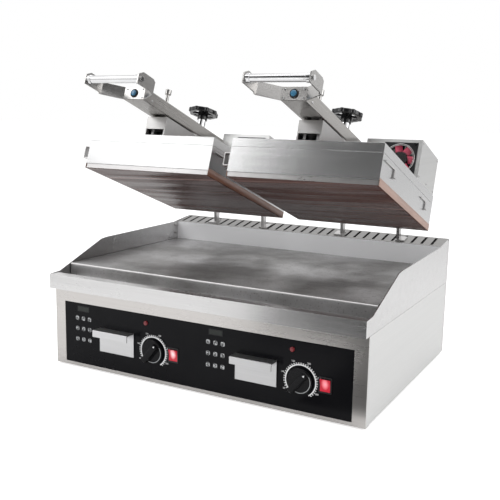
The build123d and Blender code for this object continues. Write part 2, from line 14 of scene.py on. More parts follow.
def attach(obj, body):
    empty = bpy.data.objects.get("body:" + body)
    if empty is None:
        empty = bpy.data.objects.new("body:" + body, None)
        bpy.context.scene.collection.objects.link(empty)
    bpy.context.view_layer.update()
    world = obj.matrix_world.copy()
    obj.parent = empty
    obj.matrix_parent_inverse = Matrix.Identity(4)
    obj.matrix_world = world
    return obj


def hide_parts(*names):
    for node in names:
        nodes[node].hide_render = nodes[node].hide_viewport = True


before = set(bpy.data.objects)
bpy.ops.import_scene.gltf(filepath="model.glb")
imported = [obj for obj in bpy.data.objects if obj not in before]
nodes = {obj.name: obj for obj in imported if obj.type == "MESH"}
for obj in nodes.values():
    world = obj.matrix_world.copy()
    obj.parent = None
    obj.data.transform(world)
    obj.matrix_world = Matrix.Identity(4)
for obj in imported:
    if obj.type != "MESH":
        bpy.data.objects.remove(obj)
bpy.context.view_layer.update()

# %% [markdown]
# The lids are drawn in their own slanted frame: x across, a back along the lid and h up from
# its underside. One function turns such a point into the shared frame, so a detail can be
# placed on a lid by the sizes that a fitter would measure on it.
# %% Slanted lid frame
lid_tilt = math.radians(19.6)
lid_front = Vector((0.0, -0.200, 0.477))
lid_centres = {"left": -0.199, "right": 0.199}
back_along = Vector((0.0, math.cos(lid_tilt), -math.sin(lid_tilt)))
up_from_lid = Vector((0.0, math.sin(lid_tilt), math.cos(lid_tilt)))


def on_lid(side, x, a, h):
    """A point on a lid, given in millimetres across, back and up."""
    across = Vector((lid_centres[side] + x / 1000, 0, 0))
    return lid_front + across + back_along * (a / 1000) + up_from_lid * (h / 1000)


print("wheel centre, left lid", on_lid("left", 0, 200, 218)[:])

# %% [markdown]
# The camera stands where the photographer stood: to the right of the front, nearly level
# with the open lids, looking down a little. Building the camera's axes from yaw, pitch and roll keeps the
# three numbers readable, which a plain rotation matrix would hide.
# %% Camera
yaw, pitch, roll = math.radians(28.4), math.radians(10.0), math.radians(1.1)
camera_place = (0.8595, -1.6269, 0.6054)
camera_lens, camera_sensor = 54.1, 36.0
forward = Vector((-math.sin(yaw) * math.cos(pitch), math.cos(yaw) * math.cos(pitch), -math.sin(pitch)))
level_right = Vector((math.cos(yaw), math.sin(yaw), 0))
level_up = level_right.cross(forward)
right = level_right * math.cos(roll) + level_up * math.sin(roll)
up = level_up * math.cos(roll) - level_right * math.sin(roll)
camera_data = bpy.data.cameras.new("studio_camera")
camera_data.lens = camera_lens
camera_data.sensor_width = camera_sensor
camera = bpy.data.objects.new("studio_camera", camera_data)
bpy.context.scene.collection.objects.link(camera)
turn = Matrix((right, up, -forward)).transposed().to_4x4()
camera.matrix_world = Matrix.Translation(camera_place) @ turn
bpy.context.scene.camera = camera
print("camera looks along", [round(c, 3) for c in forward])

# %% [markdown]
# Shader groups are small tools that several finishes share. The first one makes rolled grain:
# noise squeezed hard across the grain and stretched along it. Stretch says how quickly the
# noise changes along each axis, so one group serves panels, lids and arms.
# %% Group: rolled grain and hand smudges


def new_group(name, inputs, outputs):
    """An empty shader group with named sockets."""
    group = bpy.data.node_groups.new(name, "ShaderNodeTree")
    for label, kind, value in inputs:
        socket = group.interface.new_socket(label, in_out="INPUT", socket_type=kind)
        socket.default_value = value
    for label, kind in outputs:
        group.interface.new_socket(label, in_out="OUTPUT", socket_type=kind)
    return group, group.nodes.new("NodeGroupInput"), group.nodes.new("NodeGroupOutput")


def add(tree, kind, **values):
    """A node with some of its settings made at once."""
    node = tree.nodes.new(kind)
    for key, value in values.items():
        setattr(node, key, value)
    return node


def noise(tree, vector, scale, detail=3.0, roughness=0.55):
    """A noise texture fed by a vector."""
    node = add(tree, "ShaderNodeTexNoise")
    tree.links.new(vector, node.inputs["Vector"])
    node.inputs["Scale"].default_value = scale
    node.inputs["Detail"].default_value = detail
    node.inputs["Roughness"].default_value = roughness
    return node.outputs["Fac"]


def span(tree, value, low, high, out_low=0.0, out_high=1.0):
    """Maps a value's span onto another one, clamped."""
    node = add(tree, "ShaderNodeMapRange")
    tree.links.new(value, node.inputs["Value"])
    for label, number in (("From Min", low), ("From Max", high), ("To Min", out_low), ("To Max", out_high)):
        node.inputs[label].default_value = number
    return node.outputs["Result"]


def sums(tree, operation, first, second):
    """A maths node on sockets or numbers."""
    node = add(tree, "ShaderNodeMath", operation=operation)
    for socket, value in zip(node.inputs, (first, second)):
        if isinstance(value, (int, float)):
            socket.default_value = value
        else:
            tree.links.new(value, socket)
    return node.outputs[0]


grain_group, gin, gout = new_group(
    "rolled_grain",
    [("Vector", "NodeSocketVector", (0, 0, 0)), ("Stretch", "NodeSocketVector", (3, 700, 700))],
    [("Grain", "NodeSocketFloat"), ("Smudge", "NodeSocketFloat")])
stretched = add(grain_group, "ShaderNodeVectorMath", operation="MULTIPLY")
grain_group.links.new(gin.outputs["Vector"], stretched.inputs[0])
grain_group.links.new(gin.outputs["Stretch"], stretched.inputs[1])
fine = noise(grain_group, stretched.outputs[0], 1.0, 4.0, 0.7)
wide = noise(grain_group, stretched.outputs[0], 0.16, 3.0, 0.6)
fine_part = sums(grain_group, "MULTIPLY", fine, 0.6)
wide_part = sums(grain_group, "MULTIPLY", wide, 0.4)
both = sums(grain_group, "ADD", fine_part, wide_part)
grain_group.links.new(span(grain_group, both, 0.3, 0.7), gout.inputs["Grain"])
blotches = noise(grain_group, gin.outputs["Vector"], 7.0, 4.0, 0.6)
grain_group.links.new(span(grain_group, blotches, 0.35, 0.68), gout.inputs["Smudge"])
print("group", grain_group.name, len(grain_group.nodes), "nodes")

# %% [markdown]
# Used metal and plastic carry specks and short scratches. A stretched Voronoi would look
# drawn, so two thresholded noises are used: a very fine one for specks, and one squeezed
# along two slanted directions for scratches.
# %% Group: specks and scratches
wear_group, win, wout = new_group(
    "specks_and_scratches",
    [("Vector", "NodeSocketVector", (0, 0, 0)), ("Scratch size", "NodeSocketFloat", 60.0),
     ("Speck size", "NodeSocketFloat", 420.0)],
    [("Scratches", "NodeSocketFloat"), ("Specks", "NodeSocketFloat")])
slanted = []
for angle in (0.35, -0.6):
    mapping = add(wear_group, "ShaderNodeMapping")
    mapping.inputs["Rotation"].default_value = (0.2, 0.3, angle)
    mapping.inputs["Scale"].default_value = (0.25, 9.0, 3.0)
    wear_group.links.new(win.outputs["Vector"], mapping.inputs["Vector"])
    marks = add(wear_group, "ShaderNodeTexNoise")
    wear_group.links.new(mapping.outputs[0], marks.inputs["Vector"])
    wear_group.links.new(win.outputs["Scratch size"], marks.inputs["Scale"])
    marks.inputs["Detail"].default_value = 2.0
    slanted.append(span(wear_group, marks.outputs["Fac"], 0.62, 0.72))
wear_group.links.new(sums(wear_group, "MAXIMUM", slanted[0], slanted[1]), wout.inputs["Scratches"])
dots = add(wear_group, "ShaderNodeTexNoise")
wear_group.links.new(win.outputs["Vector"], dots.inputs["Vector"])
wear_group.links.new(win.outputs["Speck size"], dots.inputs["Scale"])
wear_group.links.new(span(wear_group, dots.outputs["Fac"], 0.6, 0.75), wout.inputs["Specks"])
print("group", wear_group.name, len(wear_group.nodes), "nodes")

# %% [markdown]
# Every finish starts the same way: object coordinates, the two groups, and a Principled
# shader. A Bevel node softens hard CAD edges in the shading only, so the light catches them
# as it does on folded sheet, and the solids stay untouched.
# %% Material helper


def start_material(name, stretch=(3, 700, 700), slant=0.0, scratch=60.0, speck=420.0):
    """A new material with its coordinates and both groups placed."""
    material = bpy.data.materials.new(name)
    material.use_nodes = True
    tree = material.node_tree
    shader = tree.nodes["Principled BSDF"]
    place = add(tree, "ShaderNodeTexCoord").outputs["Object"]
    if slant:
        level = add(tree, "ShaderNodeMapping")
        level.inputs["Rotation"].default_value = (slant, 0, 0)
        tree.links.new(place, level.inputs["Vector"])
        place = level.outputs[0]
    grain = add(tree, "ShaderNodeGroup", node_tree=grain_group)
    tree.links.new(place, grain.inputs["Vector"])
    grain.inputs["Stretch"].default_value = stretch
    wear = add(tree, "ShaderNodeGroup", node_tree=wear_group)
    tree.links.new(place, wear.inputs["Vector"])
    wear.inputs["Scratch size"].default_value = scratch
    wear.inputs["Speck size"].default_value = speck
    return material, tree, shader, place, grain, wear


def blend_colour(tree, factor, first, second):
    """Mixes two colours, each a socket or a tuple, by a factor socket."""
    node = add(tree, "ShaderNodeMix", data_type="RGBA")
    tree.links.new(factor, node.inputs["Factor"])
    for label, value in ((6, first), (7, second)):
        if isinstance(value, tuple):
            node.inputs[label].default_value = (*value, 1.0)
        else:
            tree.links.new(value, node.inputs[label])
    return node.outputs[2]


def relief(tree, shader, height, strength, distance, edge=0.0):
    """Feeds a bump into the shader, over softened edges where edge is a radius in metres."""
    bump = add(tree, "ShaderNodeBump")
    bump.inputs["Strength"].default_value = strength
    bump.inputs["Distance"].default_value = distance
    tree.links.new(height, bump.inputs["Height"])
    if edge:
        soft = add(tree, "ShaderNodeBevel", samples=4)
        soft.inputs["Radius"].default_value = edge
        tree.links.new(soft.outputs["Normal"], bump.inputs["Normal"])
    tree.links.new(bump.outputs["Normal"], shader.inputs["Normal"])


# %% [markdown]
# Brushed stainless steel. Its colour hardly changes; what the eye reads is roughness, which follows the
# grain, and hand smudges, which dull it in soft clouds. The fall of light over a panel then comes from the
# lamps, as in the real object, except on the vent cover: its slope is painted much darker as painted shade,
# and its low splash is painted pale bluish white as a painted highlight.
# %% Material: brushed stainless, one per grain direction


def brushed_steel(name, stretch, light=(0.62, 0.61, 0.61), dark=(0.50, 0.49, 0.485), slant=0.0,
                  rough=(0.24, 0.36), scratch_depth=0.1, edge=0.0008, painted_light_low_part=None):
    """Brushed steel with the grain running along one direction; the last argument gives a height and a paler
    colour painted below it as painted light.
    """
    material, tree, shader, place, grain, wear = start_material(name, stretch, slant)
    tone = sums(tree, "ADD", sums(tree, "MULTIPLY", grain.outputs["Grain"], 0.88),
                sums(tree, "MULTIPLY", grain.outputs["Smudge"], 0.12))
    colour = blend_colour(tree, tone, dark, light)
    shader.inputs["Metallic"].default_value = 1.0
    # Below the given height the colour turns pale and the metal weak: painted light, not a change of steel.
    if painted_light_low_part:
        split = add(tree, "ShaderNodeSeparateXYZ")
        tree.links.new(place, split.inputs[0])
        low = sums(tree, "LESS_THAN", split.outputs[2], painted_light_low_part[0])
        colour = blend_colour(tree, low, colour, painted_light_low_part[1])
        tree.links.new(span(tree, low, 0, 1, 1.0, 0.2), shader.inputs["Metallic"])
    tree.links.new(colour, shader.inputs["Base Color"])
    dull = sums(tree, "ADD", sums(tree, "MULTIPLY", grain.outputs["Smudge"], 0.35),
                sums(tree, "MULTIPLY", wear.outputs["Scratches"], scratch_depth))
    dull = sums(tree, "ADD", dull, sums(tree, "MULTIPLY", grain.outputs["Grain"], 0.3))
    tree.links.new(span(tree, dull, 0.0, 1.0, rough[0], rough[1]), shader.inputs["Roughness"])
    height = sums(tree, "SUBTRACT", grain.outputs["Grain"],
                  sums(tree, "MULTIPLY", wear.outputs["Scratches"], scratch_depth))
    relief(tree, shader, height, 0.12, 0.0003, edge)
    return material


steel_flat = brushed_steel("brushed_casing", (3, 700, 700))
steel_column = brushed_steel("brushed_front_frame", (4, 30, 500), light=(0.58, 0.56, 0.545),
                             dark=(0.52, 0.50, 0.485), scratch_depth=0.0)
steel_side = brushed_steel("brushed_side", (40, 3, 700), light=(0.69, 0.69, 0.685), dark=(0.615, 0.615, 0.61),
                           rough=(0.36, 0.5))
steel_lid = brushed_steel("brushed_lid", (3, 700, 700), light=(0.67, 0.67, 0.675), dark=(0.58, 0.58, 0.58),
                          scratch_depth=0.0, rough=(0.22, 0.3))
steel_cross = brushed_steel("brushed_brackets", (4, 500, 500), light=(0.56, 0.55, 0.54),
                            dark=(0.42, 0.41, 0.40), rough=(0.22, 0.34), scratch_depth=0.0)
steel_carrier = brushed_steel("brushed_carriers", (4, 500, 500), light=(0.56, 0.55, 0.545),
                              dark=(0.47, 0.465, 0.46), rough=(0.34, 0.46), scratch_depth=0.0)
steel_drawer = brushed_steel("brushed_drawer", (3, 700, 700), light=(0.66, 0.66, 0.665),
                             dark=(0.56, 0.56, 0.565), rough=(0.34, 0.46), scratch_depth=0.0)
steel_pin = brushed_steel("pin_steel", (60, 60, 60), light=(0.5, 0.49, 0.48), dark=(0.36, 0.35, 0.34),
                          rough=(0.16, 0.3))
steel_arm = brushed_steel("brushed_arm", (700, 4, 700), light=(0.50, 0.485, 0.465), dark=(0.37, 0.355, 0.34),
                          slant=lid_tilt, rough=(0.22, 0.34))
steel_deck = brushed_steel("brushed_deck", (4, 400, 400), light=(0.66, 0.655, 0.655),
                           dark=(0.52, 0.515, 0.515), rough=(0.22, 0.34), scratch_depth=0.05)
# The vent cover's slope is painted far darker than the other steel, as painted shade, and its low splash
# below 0.2945 m is painted pale bluish white, as a painted highlight.
steel_vent = brushed_steel("brushed_vent", (4, 400, 400), light=(0.33, 0.325, 0.32), dark=(0.24, 0.235, 0.23),
                           rough=(0.32, 0.45), painted_light_low_part=(0.2945, (0.96, 0.965, 0.98)))
steel_plain = brushed_steel("brushed_small_parts", (60, 400, 60), rough=(0.25, 0.42))
print("steel finishes ready")

# %% [markdown]
# The cooking plate is the same kind of steel after use and grinding: darker, with brownish
# heat clouds, burnt-on specks and many fine scratches from the scraper.
# %% Material: seasoned cooking plate
griddle_finish, tree, shader, place, grain, wear = start_material("seasoned_plate", (6, 260, 260), 0,
                                                                  34.0, 260.0)
clouds = span(tree, noise(tree, place, 5.0, 5.0, 0.55), 0.36, 0.64)
patches = span(tree, noise(tree, place, 34.0, 5.0, 0.7), 0.42, 0.72)
base = blend_colour(tree, clouds, (0.24, 0.235, 0.23), (0.60, 0.595, 0.60))
base = blend_colour(tree, sums(tree, "MULTIPLY", patches, 0.22), base, (0.26, 0.235, 0.22))
base = blend_colour(tree, sums(tree, "MULTIPLY", wear.outputs["Scratches"], 0.35), base, (0.52, 0.51, 0.51))
base = blend_colour(tree, sums(tree, "MULTIPLY", wear.outputs["Specks"], 0.7), base, (0.075, 0.06, 0.05))
split = add(tree, "ShaderNodeSeparateXYZ")
tree.links.new(place, split.inputs[0])
ground_edge = sums(tree, "MULTIPLY", sums(tree, "LESS_THAN", split.outputs[1], -0.2325),
                   sums(tree, "GREATER_THAN", split.outputs[2], 0.2405))
base = blend_colour(tree, ground_edge, base, (0.72, 0.71, 0.71))
tree.links.new(base, shader.inputs["Base Color"])
shader.inputs["Metallic"].default_value = 0.9
tree.links.new(span(tree, clouds, 0, 1, 0.46, 0.3), shader.inputs["Roughness"])
relief(tree, shader, sums(tree, "ADD", grain.outputs["Grain"], patches), 0.2, 0.0004, 0.001)
print("seasoned plate ready")

# %% [markdown]
# Chrome on the grips, pins and spindles mirrors the room. Perfect chrome looks false, so a
# little dust roughens it in specks.
# %% Material: chrome
chrome, tree, shader, place, grain, wear = start_material("chrome_fittings", (40, 40, 40), 0, 90.0, 600.0)
tree.links.new(blend_colour(tree, grain.outputs["Smudge"], (0.62, 0.62, 0.63), (0.76, 0.76, 0.76)),
               shader.inputs["Base Color"])
shader.inputs["Metallic"].default_value = 1.0
haze = sums(tree, "ADD", sums(tree, "MULTIPLY", grain.outputs["Smudge"], 0.3), wear.outputs["Specks"])
tree.links.new(span(tree, haze, 0, 1.3, 0.06, 0.22), shader.inputs["Roughness"])
relief(tree, shader, grain.outputs["Grain"], 0.03, 0.0002, 0.0006)
print("chrome ready")

# %% [markdown]
# Plastics and paint share one recipe: a base colour that shifts slightly in clouds, a fine
# moulded grain in the bump, and dust specks. Only colours and gloss differ between the black
# panel, the knobs, the lamp lenses and the fan.
# %% Material: plastics, paint and glass-like black


def moulded(name, colour, shade, rough, bump=0.08, size=500.0, coat=0.0, dust=0.15, shine=0.5):
    """A moulded or painted finish, with its gloss, clear coat and dust."""
    material, tree, shader, place, grain, wear = start_material(name, (size, size, size), 0, 80.0, 500.0)
    base = blend_colour(tree, grain.outputs["Smudge"], shade, colour)
    base = blend_colour(tree, sums(tree, "MULTIPLY", wear.outputs["Specks"], dust), base, (0.35, 0.34, 0.33))
    tree.links.new(base, shader.inputs["Base Color"])
    dull = sums(tree, "ADD", sums(tree, "MULTIPLY", grain.outputs["Smudge"], 0.6),
                sums(tree, "MULTIPLY", wear.outputs["Scratches"], 0.4))
    tree.links.new(span(tree, dull, 0, 1, rough[0], rough[1]), shader.inputs["Roughness"])
    shader.inputs["Coat Weight"].default_value = coat
    shader.inputs["Specular IOR Level"].default_value = shine
    relief(tree, shader, grain.outputs["Grain"], bump, 0.0002, 0.0006)
    return material


panel_black = moulded("panel_gloss_black", (0.005, 0.005, 0.006), (0.003, 0.003, 0.004), (0.16, 0.3), 0.02,
                      dust=0.0, shine=0.1)
satin_black = moulded("satin_black_plastic", (0.020, 0.020, 0.022), (0.010, 0.010, 0.011), (0.28, 0.42), 0.08,
                      dust=0.02, shine=0.35)
knob_black = moulded("knob_gloss_black", (0.005, 0.005, 0.006), (0.003, 0.003, 0.004), (0.12, 0.22), 0.04,
                     dust=0.01, shine=0.16)
wheel_black = moulded("wheel_gloss_black", (0.010, 0.010, 0.011), (0.006, 0.006, 0.007), (0.1, 0.2), 0.05,
                      dust=0.02, shine=0.5)
key_black = moulded("key_overlay", (0.014, 0.014, 0.016), (0.009, 0.009, 0.010), (0.2, 0.36), 0.04,
                    dust=0.02, shine=0.2)
rubber = moulded("foot_rubber", (0.03, 0.03, 0.03), (0.018, 0.018, 0.018), (0.6, 0.85), 0.3)
dark_red = moulded("pilot_lens", (0.19, 0.007, 0.012), (0.10, 0.003, 0.006), (0.08, 0.16), 0.03, coat=0.2)
blue = moulded("blue_button", (0.045, 0.20, 0.34), (0.022, 0.11, 0.20), (0.14, 0.28), 0.04, coat=0.3)
can_grey = moulded("spring_can_grey", (0.42, 0.42, 0.42), (0.30, 0.30, 0.30), (0.35, 0.5), 0.15)
print_white = moulded("printed_white", (0.88, 0.88, 0.88), (0.74, 0.74, 0.75), (0.4, 0.6), 0.1, dust=0.1)
print_grey = moulded("printed_grey", (0.50, 0.51, 0.52), (0.38, 0.39, 0.40), (0.4, 0.6), 0.1, dust=0.1)
# One black serves two uses: the dark recess in every screw head is painted shade where the socket's hollow
# would be, and the key pictograms are print.
recess_shade_and_ink_black = moulded("painted_recess_shade_and_ink_black", (0.01, 0.01, 0.01), (0.006, 0.006, 0.006), (0.6, 0.8), 0.1, dust=0.0)
display_dark = moulded("display_window", (0.014, 0.018, 0.015), (0.009, 0.011, 0.010), (0.1, 0.2), 0.02,
                       dust=0.0, shine=0.3)


def by_distance(tree, place, centre, scale, near, far):
    """A mask that is one at a centre and falls to nothing; scale flattens it along an axis."""
    offset = add(tree, "ShaderNodeVectorMath", operation="SUBTRACT")
    tree.links.new(place, offset.inputs[0])
    offset.inputs[1].default_value = centre
    flat = add(tree, "ShaderNodeVectorMath", operation="MULTIPLY")
    tree.links.new(offset.outputs[0], flat.inputs[0])
    flat.inputs[1].default_value = scale
    length = add(tree, "ShaderNodeVectorMath", operation="LENGTH")
    tree.links.new(flat.outputs[0], length.inputs[0])
    return span(tree, length.outputs["Value"], near, far, 1.0, 0.0)


# The rockers are lit switches, so they glow; the pale spot in the middle of each is a painted highlight laid
# over that glow, in base colour and in emission.
rockers = {}
for side, x, pale in (("left", -0.056, (1.0, 0.62, 0.64)), ("right", 0.312, (0.95, 0.30, 0.34))):
    material, tree, shader, place, grain, wear = start_material(f"lit_rocker_{side}", (500, 500, 500))
    core = by_distance(tree, place, (x, -0.285, 0.081), (1.25, 0, 0.8), 0.001, 0.0105)
    deep = blend_colour(tree, grain.outputs["Smudge"], (0.42, 0.012, 0.03), (0.55, 0.025, 0.045))
    tree.links.new(blend_colour(tree, core, deep, pale), shader.inputs["Base Color"])
    tree.links.new(blend_colour(tree, core, (0.25, 0.0, 0.01), pale), shader.inputs["Emission Color"])
    shader.inputs["Emission Strength"].default_value = 0.35
    tree.links.new(span(tree, grain.outputs["Grain"], 0, 1, 0.12, 0.24), shader.inputs["Roughness"])
    relief(tree, shader, grain.outputs["Grain"], 0.03, 0.0002, 0.0006)
    rockers[side] = material
fan_x, fan_h = 125, 133
fans = {}
for side in ("left", "right"):
    material, tree, shader, place, grain, wear = start_material(f"fan_rotor_{side}", (500, 500, 500))
    core = by_distance(tree, place, tuple(on_lid(side, fan_x, 260, fan_h)), (1, 1, 1), 0.018, 0.0215)
    rim = blend_colour(tree, grain.outputs["Smudge"], (0.50, 0.045, 0.10), (0.72, 0.10, 0.17))
    tree.links.new(blend_colour(tree, core, rim, (0.02, 0.02, 0.02)), shader.inputs["Base Color"])
    tree.links.new(span(tree, grain.outputs["Grain"], 0, 1, 0.22, 0.36), shader.inputs["Roughness"])
    relief(tree, shader, grain.outputs["Grain"], 0.05, 0.0002, 0.0006)
    fans[side] = material
print("plastics ready")

# %% [markdown]
# Dress the CAD solids. Each CAD object keeps its mesh; only the material in its slot changes.
# A table from node to finish reads better than a long list of assignments.
# %% Put finishes on the CAD nodes
finishes = {
    "feet": rubber, "base_tray": steel_plain, "front_frame": steel_column, "side_panels": steel_side,
    "control_panel": panel_black, "timer_faces": key_black, "pilot_lamps": dark_red,
    "thermostats": satin_black, "switch_housings": satin_black, "top_deck": steel_deck,
    "griddle_plate": griddle_finish, "lower_elements": steel_plain, "vent_cover": steel_vent,
    "rear_panel": steel_flat, "mains_gland": satin_black, "hinge_towers": steel_plain,
    "hinge_shafts": chrome, "return_springs": can_grey,
}
per_set = {"knob": knob_black, "drawer": steel_drawer}
per_lid = {
    "press_plate": steel_plain, "lid_element": steel_plain, "lid_housing": steel_lid, "lid_cover": steel_lid,
    "carrier": steel_carrier, "arm": steel_arm, "handle_bracket": steel_cross, "handle_grip": chrome,
    "start_button": blue, "lock_pin": steel_pin, "wheel_spindle": chrome, "handwheel": wheel_black,
    "fan_box": steel_side, "fan_frame": satin_black, "sheet_clamp_left": steel_plain,
    "sheet_clamp_right": steel_plain,
}
for side in ("left", "right"):
    for part, finish in {**per_set, **per_lid}.items():
        finishes[f"{part}_{side}"] = finish
    finishes[f"rocker_{side}"] = rockers[side]
    finishes[f"fan_rotor_{side}"] = fans[side]
for name, finish in finishes.items():
    mesh = nodes[name].data
    mesh.materials.clear()
    mesh.materials.append(finish)
print("finishes on", len(finishes), "nodes")

# %% [markdown]
# The release sheet is a thin glossy brown film stretched under the press plate and folded up
# at both ends. Heat has pulled it into long ripples. It is built as a grid whose ripples run
# across the lid, shallow enough to stay between the plate and the griddle when shut.
# %% Material: release film
film, tree, shader, place, grain, wear = start_material("release_film", (4, 160, 160), lid_tilt, 50.0, 500.0)
fanned = add(tree, "ShaderNodeMapping")
fanned.inputs["Rotation"].default_value = (0, 0, math.radians(7))
tree.links.new(place, fanned.inputs["Vector"])
mapped = add(tree, "ShaderNodeVectorMath", operation="MULTIPLY")
mapped.inputs[1].default_value = (1.1, 8.0, 2.0)
tree.links.new(fanned.outputs[0], mapped.inputs[0])
ripple = span(tree, noise(tree, mapped.outputs[0], 1.0, 2.5, 0.5), 0.3, 0.7)
broad = span(tree, noise(tree, place, 3.0, 3.0, 0.5), 0.4, 0.62)
fine = add(tree, "ShaderNodeVectorMath", operation="MULTIPLY")
fine.inputs[1].default_value = (0.9, 34.0, 3.0)
tree.links.new(fanned.outputs[0], fine.inputs[0])
# Fine pale streaks along the ripples are painted highlights.
painted_highlight_streak = span(tree, noise(tree, fine.outputs[0], 1.0, 1.5, 0.5), 0.60, 0.74)
# These browns are far darker than the sheet's own tan at the side strips: the underside is painted in shade
# because it faces down.
base = blend_colour(tree, ripple, (0.046, 0.020, 0.017), (0.092, 0.043, 0.036))
base = blend_colour(tree, sums(tree, "MULTIPLY", broad, 0.25), base, (0.21, 0.115, 0.095))
base = blend_colour(tree, sums(tree, "MULTIPLY", painted_highlight_streak, 0.5), base, (0.46, 0.31, 0.29))
tree.links.new(base, shader.inputs["Base Color"])
tree.links.new(span(tree, sums(tree, "ADD", ripple, wear.outputs["Scratches"]), 0, 2, 0.2, 0.3),
               shader.inputs["Roughness"])
shader.inputs["Specular IOR Level"].default_value = 0.05
shader.inputs["Specular Tint"].default_value = (1.0, 0.84, 0.8, 1)
weave = sums(tree, "ADD", ripple, sums(tree, "MULTIPLY", grain.outputs["Grain"], 0.03))
relief(tree, shader, weave, 0.8, 0.008)
# The side strips get a lighter copy of the same film: the sheet's own tan, beside the underside's painted
# shade.
film_edge, tree, shader, place, grain, wear = start_material("release_film_edge", (4, 160, 160), lid_tilt,
                                                             50.0, 500.0)
base = blend_colour(tree, grain.outputs["Smudge"], (0.36, 0.215, 0.165), (0.50, 0.34, 0.28))
split = add(tree, "ShaderNodeSeparateXYZ")
tree.links.new(place, split.inputs[0])
# Strips on the left lid are painted darker than those on the right lid: painted shade.
base = blend_colour(tree, sums(tree, "LESS_THAN", split.outputs[0], 0.01), base, (0.20, 0.09, 0.055))
base = blend_colour(tree, sums(tree, "MULTIPLY", grain.outputs["Grain"], 0.3), base, (0.2, 0.1, 0.07))
tree.links.new(base, shader.inputs["Base Color"])
tree.links.new(span(tree, grain.outputs["Smudge"], 0, 1, 0.3, 0.45), shader.inputs["Roughness"])
relief(tree, shader, grain.outputs["Smudge"], 0.3, 0.002)
print("film ready")

# %% [markdown]
# The sheet itself is a grid of points, 61 across and 151 along, with two more at each side
# that stand up against the lid. Formulas lift the points into ripples, and Solidify gives
# the film its quarter of a millimetre.
# %% Build the rippled sheet for each lid


def fresh(name, mesh, material, body, smooth=True):
    """Links a mesh as a piece that rides on a body."""
    piece = bpy.data.objects.new(name, mesh)
    bpy.context.scene.collection.objects.link(piece)
    mesh.materials.clear()
    mesh.materials.append(material)
    for face in mesh.polygons:
        face.use_smooth = smooth
    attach(piece, body)
    return piece


sheet_half, sheet_depth, sheet_rise, film_low, film_high = 175.9, 413.0, 17.0, 0.1, 1.0
film_columns, film_rows, film_thickness = 60, 150, 0.00025


def ripple_height(x, a):
    """Height of the film's middle in millimetres: long ripples that bend and fade at the ends."""
    wave = math.sin(a / 9.5 + 0.9 * math.sin(x / 70.0) + 0.35 * math.sin(a / 31.0))
    wave += 0.6 * math.sin(a / 17.0 + 1.3 * math.sin(x / 110.0 + 1.0))
    edge = min(1.0, (sheet_half - abs(x)) / 12.0, a / 8.0, (sheet_depth - a) / 8.0)
    return 0.5 * (film_low + film_high) + 0.27 * wave / 1.6 * max(0.0, edge)


for side in ("left", "right"):
    across = [(-sheet_half + 0.5, sheet_rise), (-sheet_half + 0.5, 4.0)]
    pitch = (2 * sheet_half - 1.4) / film_columns
    across += [(-sheet_half + 0.7 + n * pitch, None) for n in range(film_columns + 1)]
    across += [(sheet_half - 0.5, 4.0), (sheet_half - 0.5, sheet_rise)]
    points, faces = [], []
    for r in range(film_rows + 1):
        a = 0.4 + r * (sheet_depth - 0.8) / film_rows
        for x, h in across:
            points.append(on_lid(side, x, a, ripple_height(x, a) if h is None else h))
    wide_count = len(across)
    for r in range(film_rows):
        for c in range(wide_count - 1):
            k = r * wide_count + c
            faces.append((k, k + wide_count, k + wide_count + 1, k + 1))
    mesh = bpy.data.meshes.new(f"release_film_{side}")
    mesh.from_pydata(points, [], faces)
    piece = fresh(f"release_film_{side}", mesh, film, f"lid_{side}")
    # Faces that stand sideways take the lighter copy; the underside keeps the copy painted in shade.
    mesh.materials.append(film_edge)
    for face in mesh.polygons:
        if abs(face.normal.x) > 0.8:
            face.material_index = 1
    thick = piece.modifiers.new("thickness", "SOLIDIFY")
    thick.thickness = film_thickness
    thick.offset = 0
    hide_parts(f"release_sheet_{side}")
print("release film in place")

# %% [markdown]
# Screws repeat, so they are made with Geometry Nodes: the tree puts a screw head on every
# point of a small mesh and turns it along that point's own "aim". Inputs set the head's size.
# The result is turned into a plain mesh, because the export can't read instances.
# %% Geometry Nodes: screw heads on points


def new_geometry_tree(name, inputs):
    """A geometry tree with named inputs."""
    tree = bpy.data.node_groups.new(name, "GeometryNodeTree")
    tree.interface.new_socket("Geometry", in_out="INPUT", socket_type="NodeSocketGeometry")
    for label, kind, value in inputs:
        socket = tree.interface.new_socket(label, in_out="INPUT", socket_type=kind)
        if value is not None:
            socket.default_value = value
    tree.interface.new_socket("Geometry", in_out="OUTPUT", socket_type="NodeSocketGeometry")
    return tree, tree.nodes.new("NodeGroupInput"), tree.nodes.new("NodeGroupOutput")


screw_tree, sin_, sout = new_geometry_tree("screw_heads", [
    ("Head radius", "NodeSocketFloat", 0.003), ("Head height", "NodeSocketFloat", 0.0018),
    ("Head material", "NodeSocketMaterial", None), ("Recess material", "NodeSocketMaterial", None)])
link = screw_tree.links.new
head = add(screw_tree, "GeometryNodeMeshCone")
head.inputs["Vertices"].default_value = 24
link(sin_.outputs["Head radius"], head.inputs["Radius Bottom"])
link(sums(screw_tree, "MULTIPLY", sin_.outputs["Head radius"], 0.72), head.inputs["Radius Top"])
link(sin_.outputs["Head height"], head.inputs["Depth"])
